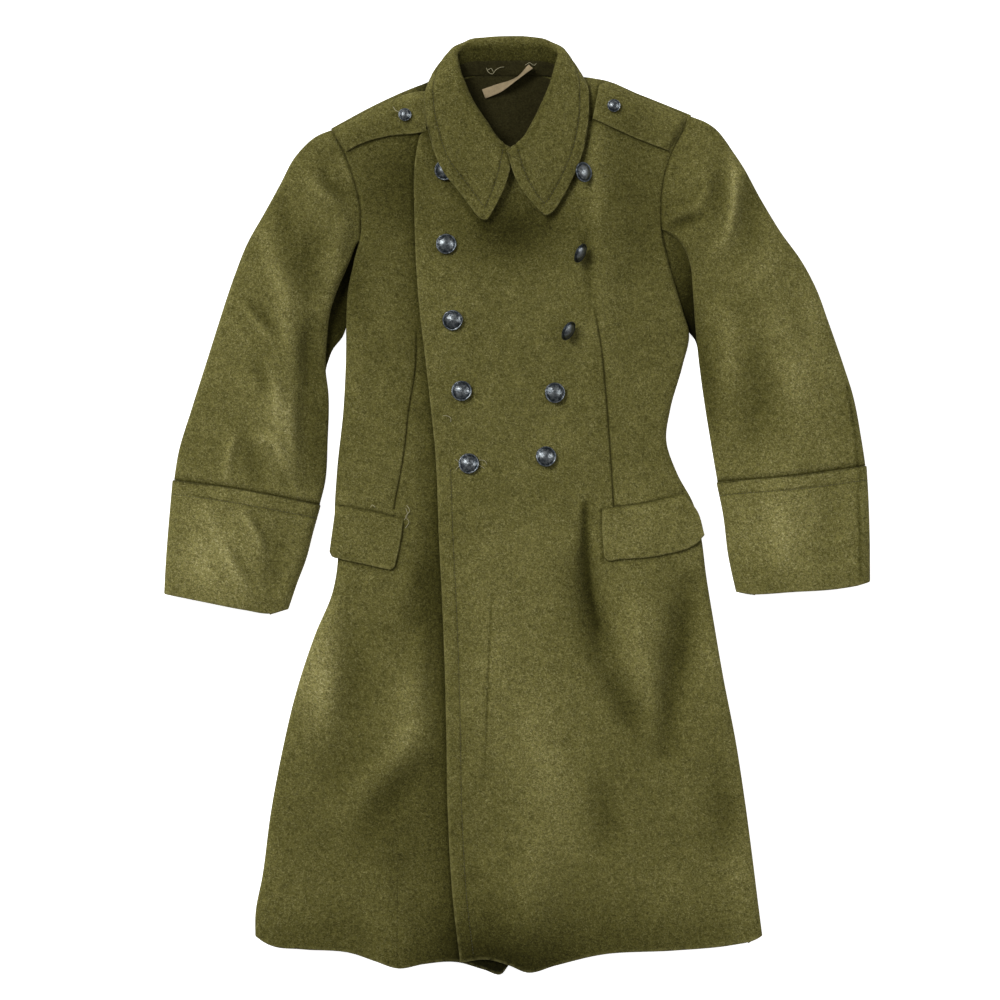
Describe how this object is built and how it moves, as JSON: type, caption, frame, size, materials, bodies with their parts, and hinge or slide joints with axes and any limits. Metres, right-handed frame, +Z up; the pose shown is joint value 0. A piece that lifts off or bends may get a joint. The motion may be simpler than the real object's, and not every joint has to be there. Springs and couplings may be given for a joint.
{
  "type": "greatcoat",
  "caption": "Double-breasted wool greatcoat laid out flat face up, buttoned, with turn-down collar, shoulder straps, pocket flaps and deep cuffs.",
  "frame": {"origin": "middle of the bounding box, on the surface that the coat lies on", "axes": "+X to the viewer's right (the wearer's left), +Y from hem to collar, +Z up out of the surface"},
  "size_m": [0.8958, 1.1899, 0.0484],
  "materials": {
    "wool": "napped melton",
    "wool_inside": "plain lining",
    "tape": "woven tape",
    "button": "blackened, rubbed bright"
  },
  "bodies": {
    "root": {"back": "wool", "front_right": "wool", "front_left": "wool", "sleeve_right_top": "wool", "sleeve_right_under": "wool", "sleeve_left_top": "wool", "sleeve_left_under": "wool", "cuff_right_top": "wool", "cuff_right_under": "wool", "cuff_left_top": "wool", "cuff_left_under": "wool", "collar_fall": "wool", "collar_stand": "wool_inside", "strap_right": "wool", "strap_left": "wool", "flap_right": "wool", "flap_left": "wool", "neck_lining": "wool_inside", "hanger_tape": "tape", "button_front_r1": "button", "button_front_r2": "button", "button_front_r3": "button", "button_front_r4": "button", "button_front_r5": "button", "button_front_l1": "button", "button_front_l2": "button", "button_front_l3": "button", "button_front_l4": "button", "button_front_l5": "button", "button_strap_right": "button", "button_strap_left": "button"}
  },
  "joints": []
}
